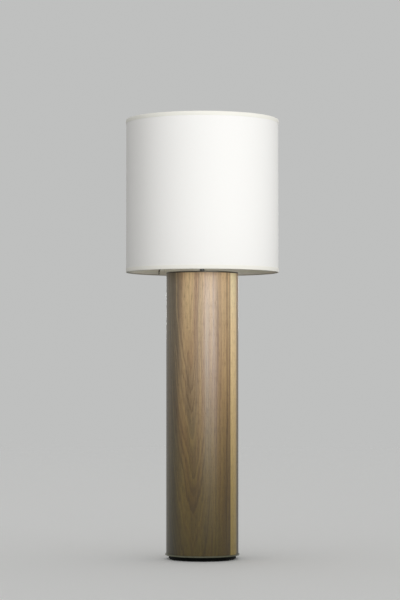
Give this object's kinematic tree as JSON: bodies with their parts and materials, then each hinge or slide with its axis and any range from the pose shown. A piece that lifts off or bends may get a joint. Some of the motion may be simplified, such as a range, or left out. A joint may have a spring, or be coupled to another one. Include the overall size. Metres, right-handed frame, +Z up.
{
  "type": "table lamp",
  "caption": "Table lamp: a round veneered column on a recessed foot carries a key-switch bulb socket and a harp, on which a drum shade turns.",
  "frame": {"origin": "centre of the foot's underside, on the table", "axes": "+Z up along the column, -Y to the front, where the switch key points, +X to the lamp's right in the front view"},
  "size_m": [0.3059, 0.3058, 0.8765],
  "materials": {
    "black_felt": "matte felt",
    "black_wood": "black satin lacquer",
    "black_plastic": "matte",
    "polished_steel": "polished",
    "dark_metal": "dark bronze, satin",
    "zinc_steel": "zinc plated",
    "tube_board": "raw",
    "walnut": "satin oiled veneer",
    "plywood": "raw",
    "iron": "black primer",
    "brass": "polished",
    "liner_board": "raw",
    "phenolic": "moulded",
    "knob_black": "moulded",
    "frosted_glass": "frosted",
    "cap_metal": "plain",
    "black_glass": "gloss",
    "solder": "plain",
    "shade_fabric": "off-white woven",
    "trim_tape": "cream",
    "ring_metal": "white"
  },
  "bodies": {
    "stand": {"felt_pad": "black_felt", "foot_disc": "black_wood", "cord_bushing": "black_plastic", "base_plate": "polished_steel", "base_screws": "zinc_steel", "column_tube": "tube_board", "walnut_veneer": "walnut", "lower_bulkhead": "plywood", "upper_bulkhead": "plywood", "ballast_weight": "iron", "top_plate": "dark_metal", "threaded_pipe": "zinc_steel", "foot_washer": "zinc_steel", "foot_nut": "zinc_steel", "ballast_washer": "zinc_steel", "ballast_nut": "zinc_steel", "deck_nut": "zinc_steel", "saddle_nut": "zinc_steel", "harp_saddle": "brass", "harp_wire": "brass", "harp_stud": "brass", "socket_cap": "brass", "socket_shell": "brass", "socket_liner": "liner_board", "switch_body": "phenolic", "screw_shell": "brass", "centre_contact": "brass", "terminal_screws": "brass", "bulb_screw_cap": "cap_metal", "bulb_insulator": "black_glass", "bulb_tip": "solder", "bulb_glass": "frosted_glass", "finial": "brass"},
    "switch": {"key_shaft": "brass", "switch_key": "knob_black"},
    "sleeve_left": {"harp_sleeve_left": "brass"},
    "sleeve_right": {"harp_sleeve_right": "brass"},
    "shade": {"shade_panel": "shade_fabric", "shade_seam_lap": "shade_fabric", "bottom_tape": "trim_tape", "top_tape": "trim_tape", "bottom_ring": "ring_metal", "top_ring": "ring_metal", "spider_washer": "brass", "spider_arms": "brass"}
  },
  "joints": [
    {"name": "shade_swivel", "type": "hinge", "parent": "stand", "child": "shade", "pos_m": [0, 0, 0.8575], "axis": [0, 0, 1], "continuous": true},
    {"name": "switch_turn", "type": "hinge", "parent": "stand", "child": "switch", "pos_m": [0, -0.014, 0.6167], "axis": [0, -1, 0], "continuous": true},
    {"name": "harp_sleeve_left_lift", "type": "slide", "parent": "stand", "child": "sleeve_left", "axis": [0, 0, 1], "range_m": [0, 0.018]},
    {"name": "harp_sleeve_right_lift", "type": "slide", "parent": "stand", "child": "sleeve_right", "axis": [0, 0, 1], "range_m": [0, 0.018]}
  ]
}
